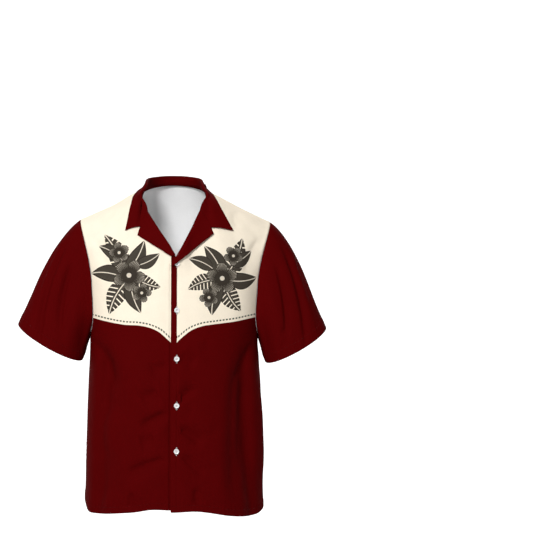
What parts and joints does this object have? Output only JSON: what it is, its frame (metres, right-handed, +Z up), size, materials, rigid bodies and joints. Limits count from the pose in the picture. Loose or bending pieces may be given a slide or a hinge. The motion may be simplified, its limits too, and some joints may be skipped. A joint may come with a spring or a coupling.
{
  "type": "short-sleeved camp-collar shirt",
  "caption": "Short-sleeved buttoned shirt with an open camp collar, filled out and hollow as if worn, with its neck, sleeves and hem open.",
  "frame": {"origin": "middle of the neck opening, at the height where the shoulder seams meet the collar, where the wearer's shoulders hold the shirt", "axes": "+Z up, the front of the shirt faces -Y, and the wearer's left side is at +X"},
  "size_m": [0.715, 0.2833, 0.8025],
  "materials": {
    "shirt_cloth": "woven, matt, with a soft drape",
    "button": "pearly"
  },
  "bodies": {
    "root": {"back": "shirt_cloth", "front_left": "shirt_cloth", "front_right": "shirt_cloth", "sleeve_left": "shirt_cloth", "sleeve_right": "shirt_cloth", "collar": "shirt_cloth", "lapel_left": "shirt_cloth", "lapel_right": "shirt_cloth", "button_1": "button", "button_2": "button", "button_3": "button", "button_4": "button", "button_5": "button"}
  },
  "joints": []
}
